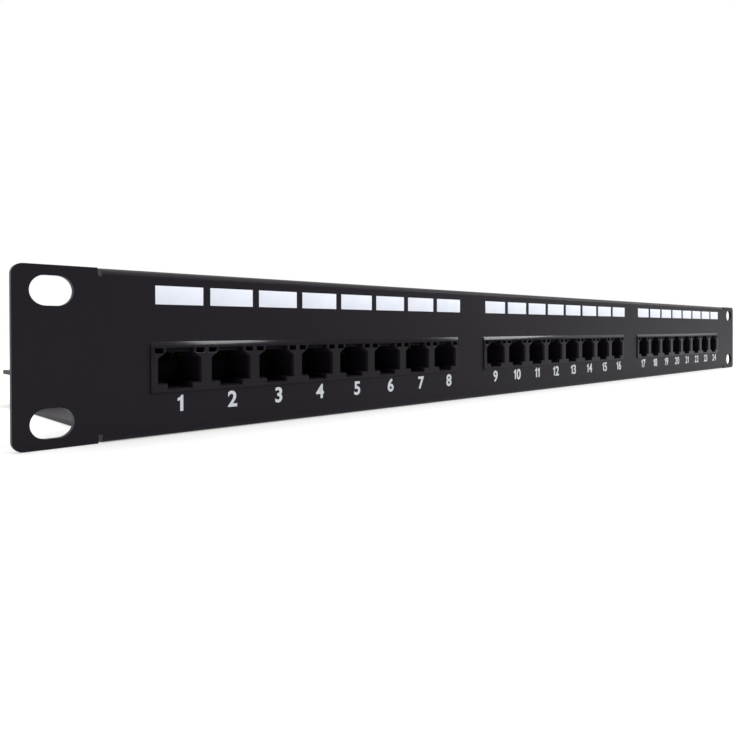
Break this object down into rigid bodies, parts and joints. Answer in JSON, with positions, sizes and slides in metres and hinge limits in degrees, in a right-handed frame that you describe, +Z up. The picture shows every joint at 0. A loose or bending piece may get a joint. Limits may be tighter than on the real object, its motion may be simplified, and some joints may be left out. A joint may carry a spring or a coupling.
{
  "type": "patch panel",
  "caption": "One-unit 19-inch rack patch panel: black folded steel front with ganged modular jacks, punch-down blocks behind and a rear cable tray.",
  "frame": {"origin": "middle of the bounding box on the underside, so the panel stands on z = 0", "axes": "+X to the right along the panel seen from its front, +Y from the front face to the rear tray, +Z up"},
  "size_m": [0.4826, 0.1134, 0.044],
  "materials": {
    "powder_coat": "satin black powder coat, fine orange peel",
    "jack_plastic": "moulded black, semi-gloss",
    "gold_wire": "gold-plated spring wire",
    "circuit_board": "glass-epoxy board with green solder mask",
    "block_plastic": "moulded polycarbonate, ivory, matte",
    "zinc_plate": "bright zinc plate"
  },
  "bodies": {
    "panel": {"front_panel": "powder_coat", "cable_tray": "powder_coat", "jack_housing_1": "jack_plastic", "jack_housing_2": "jack_plastic", "jack_housing_3": "jack_plastic", "circuit_board_1": "circuit_board", "circuit_board_2": "circuit_board", "circuit_board_3": "circuit_board", "idc_block_01": "block_plastic", "idc_block_02": "block_plastic", "idc_block_03": "block_plastic", "idc_block_04": "block_plastic", "idc_block_05": "block_plastic", "idc_block_06": "block_plastic", "idc_block_07": "block_plastic", "idc_block_08": "block_plastic", "idc_block_09": "block_plastic", "idc_block_10": "block_plastic", "idc_block_11": "block_plastic", "idc_block_12": "block_plastic", "board_screw_1": "zinc_plate", "board_screw_2": "zinc_plate", "board_screw_3": "zinc_plate", "board_screw_4": "zinc_plate", "board_screw_5": "zinc_plate", "board_screw_6": "zinc_plate", "tray_screw_1": "zinc_plate", "tray_screw_2": "zinc_plate", "tray_screw_3": "zinc_plate", "tray_screw_4": "zinc_plate"},
    "contact_spring_01": {"contacts_01": "gold_wire"},
    "contact_spring_02": {"contacts_02": "gold_wire"},
    "contact_spring_03": {"contacts_03": "gold_wire"},
    "contact_spring_04": {"contacts_04": "gold_wire"},
    "contact_spring_05": {"contacts_05": "gold_wire"},
    "contact_spring_06": {"contacts_06": "gold_wire"},
    "contact_spring_07": {"contacts_07": "gold_wire"},
    "contact_spring_08": {"contacts_08": "gold_wire"},
    "contact_spring_09": {"contacts_09": "gold_wire"},
    "contact_spring_10": {"contacts_10": "gold_wire"},
    "contact_spring_11": {"contacts_11": "gold_wire"},
    "contact_spring_12": {"contacts_12": "gold_wire"},
    "contact_spring_13": {"contacts_13": "gold_wire"},
    "contact_spring_14": {"contacts_14": "gold_wire"},
    "contact_spring_15": {"contacts_15": "gold_wire"},
    "contact_spring_16": {"contacts_16": "gold_wire"},
    "contact_spring_17": {"contacts_17": "gold_wire"},
    "contact_spring_18": {"contacts_18": "gold_wire"},
    "contact_spring_19": {"contacts_19": "gold_wire"},
    "contact_spring_20": {"contacts_20": "gold_wire"},
    "contact_spring_21": {"contacts_21": "gold_wire"},
    "contact_spring_22": {"contacts_22": "gold_wire"},
    "contact_spring_23": {"contacts_23": "gold_wire"},
    "contact_spring_24": {"contacts_24": "gold_wire"}
  },
  "joints": [
    {"name": "contact_flex_01", "type": "hinge", "parent": "panel", "child": "contact_spring_01", "pos_m": [-0.20006, -0.05365, 0.0232], "axis": [1, 0, 0], "range_deg": [0, 9], "stiffness_Nm_per_rad": 0.001, "springref_deg": -2.86},
    {"name": "contact_flex_02", "type": "hinge", "parent": "panel", "child": "contact_spring_02", "pos_m": [-0.18419, -0.05365, 0.0232], "axis": [1, 0, 0], "range_deg": [0, 9], "stiffness_Nm_per_rad": 0.001, "springref_deg": -2.86},
    {"name": "contact_flex_03", "type": "hinge", "parent": "panel", "child": "contact_spring_03", "pos_m": [-0.16831, -0.05365, 0.0232], "axis": [1, 0, 0], "range_deg": [0, 9], "stiffness_Nm_per_rad": 0.001, "springref_deg": -2.86},
    {"name": "contact_flex_04", "type": "hinge", "parent": "panel", "child": "contact_spring_04", "pos_m": [-0.15244, -0.05365, 0.0232], "axis": [1, 0, 0], "range_deg": [0, 9], "stiffness_Nm_per_rad": 0.001, "springref_deg": -2.86},
    {"name": "contact_flex_05", "type": "hinge", "parent": "panel", "child": "contact_spring_05", "pos_m": [-0.13656, -0.05365, 0.0232], "axis": [1, 0, 0], "range_deg": [0, 9], "stiffness_Nm_per_rad": 0.001, "springref_deg": -2.86},
    {"name": "contact_flex_06", "type": "hinge", "parent": "panel", "child": "contact_spring_06", "pos_m": [-0.12069, -0.05365, 0.0232], "axis": [1, 0, 0], "range_deg": [0, 9], "stiffness_Nm_per_rad": 0.001, "springref_deg": -2.86},
    {"name": "contact_flex_07", "type": "hinge", "parent": "panel", "child": "contact_spring_07", "pos_m": [-0.10481, -0.05365, 0.0232], "axis": [1, 0, 0], "range_deg": [0, 9], "stiffness_Nm_per_rad": 0.001, "springref_deg": -2.86},
    {"name": "contact_flex_08", "type": "hinge", "parent": "panel", "child": "contact_spring_08", "pos_m": [-0.08894, -0.05365, 0.0232], "axis": [1, 0, 0], "range_deg": [0, 9], "stiffness_Nm_per_rad": 0.001, "springref_deg": -2.86},
    {"name": "contact_flex_09", "type": "hinge", "parent": "panel", "child": "contact_spring_09", "pos_m": [-0.05556, -0.05365, 0.0232], "axis": [1, 0, 0], "range_deg": [0, 9], "stiffness_Nm_per_rad": 0.001, "springref_deg": -2.86},
    {"name": "contact_flex_10", "type": "hinge", "parent": "panel", "child": "contact_spring_10", "pos_m": [-0.03969, -0.05365, 0.0232], "axis": [1, 0, 0], "range_deg": [0, 9], "stiffness_Nm_per_rad": 0.001, "springref_deg": -2.86},
    {"name": "contact_flex_11", "type": "hinge", "parent": "panel", "child": "contact_spring_11", "pos_m": [-0.02381, -0.05365, 0.0232], "axis": [1, 0, 0], "range_deg": [0, 9], "stiffness_Nm_per_rad": 0.001, "springref_deg": -2.86},
    {"name": "contact_flex_12", "type": "hinge", "parent": "panel", "child": "contact_spring_12", "pos_m": [-0.00794, -0.05365, 0.0232], "axis": [1, 0, 0], "range_deg": [0, 9], "stiffness_Nm_per_rad": 0.001, "springref_deg": -2.86},
    {"name": "contact_flex_13", "type": "hinge", "parent": "panel", "child": "contact_spring_13", "pos_m": [0.00794, -0.05365, 0.0232], "axis": [1, 0, 0], "range_deg": [0, 9], "stiffness_Nm_per_rad": 0.001, "springref_deg": -2.86},
    {"name": "contact_flex_14", "type": "hinge", "parent": "panel", "child": "contact_spring_14", "pos_m": [0.02381, -0.05365, 0.0232], "axis": [1, 0, 0], "range_deg": [0, 9], "stiffness_Nm_per_rad": 0.001, "springref_deg": -2.86},
    {"name": "contact_flex_15", "type": "hinge", "parent": "panel", "child": "contact_spring_15", "pos_m": [0.03969, -0.05365, 0.0232], "axis": [1, 0, 0], "range_deg": [0, 9], "stiffness_Nm_per_rad": 0.001, "springref_deg": -2.86},
    {"name": "contact_flex_16", "type": "hinge", "parent": "panel", "child": "contact_spring_16", "pos_m": [0.05556, -0.05365, 0.0232], "axis": [1, 0, 0], "range_deg": [0, 9], "stiffness_Nm_per_rad": 0.001, "springref_deg": -2.86},
    {"name": "contact_flex_17", "type": "hinge", "parent": "panel", "child": "contact_spring_17", "pos_m": [0.08894, -0.05365, 0.0232], "axis": [1, 0, 0], "range_deg": [0, 9], "stiffness_Nm_per_rad": 0.001, "springref_deg": -2.86},
    {"name": "contact_flex_18", "type": "hinge", "parent": "panel", "child": "contact_spring_18", "pos_m": [0.10481, -0.05365, 0.0232], "axis": [1, 0, 0], "range_deg": [0, 9], "stiffness_Nm_per_rad": 0.001, "springref_deg": -2.86},
    {"name": "contact_flex_19", "type": "hinge", "parent": "panel", "child": "contact_spring_19", "pos_m": [0.12069, -0.05365, 0.0232], "axis": [1, 0, 0], "range_deg": [0, 9], "stiffness_Nm_per_rad": 0.001, "springref_deg": -2.86},
    {"name": "contact_flex_20", "type": "hinge", "parent": "panel", "child": "contact_spring_20", "pos_m": [0.13656, -0.05365, 0.0232], "axis": [1, 0, 0], "range_deg": [0, 9], "stiffness_Nm_per_rad": 0.001, "springref_deg": -2.86},
    {"name": "contact_flex_21", "type": "hinge", "parent": "panel", "child": "contact_spring_21", "pos_m": [0.15244, -0.05365, 0.0232], "axis": [1, 0, 0], "range_deg": [0, 9], "stiffness_Nm_per_rad": 0.001, "springref_deg": -2.86},
    {"name": "contact_flex_22", "type": "hinge", "parent": "panel", "child": "contact_spring_22", "pos_m": [0.16831, -0.05365, 0.0232], "axis": [1, 0, 0], "range_deg": [0, 9], "stiffness_Nm_per_rad": 0.001, "springref_deg": -2.86},
    {"name": "contact_flex_23", "type": "hinge", "parent": "panel", "child": "contact_spring_23", "pos_m": [0.18419, -0.05365, 0.0232], "axis": [1, 0, 0], "range_deg": [0, 9], "stiffness_Nm_per_rad": 0.001, "springref_deg": -2.86},
    {"name": "contact_flex_24", "type": "hinge", "parent": "panel", "child": "contact_spring_24", "pos_m": [0.20006, -0.05365, 0.0232], "axis": [1, 0, 0], "range_deg": [0, 9], "stiffness_Nm_per_rad": 0.001, "springref_deg": -2.86}
  ]
}
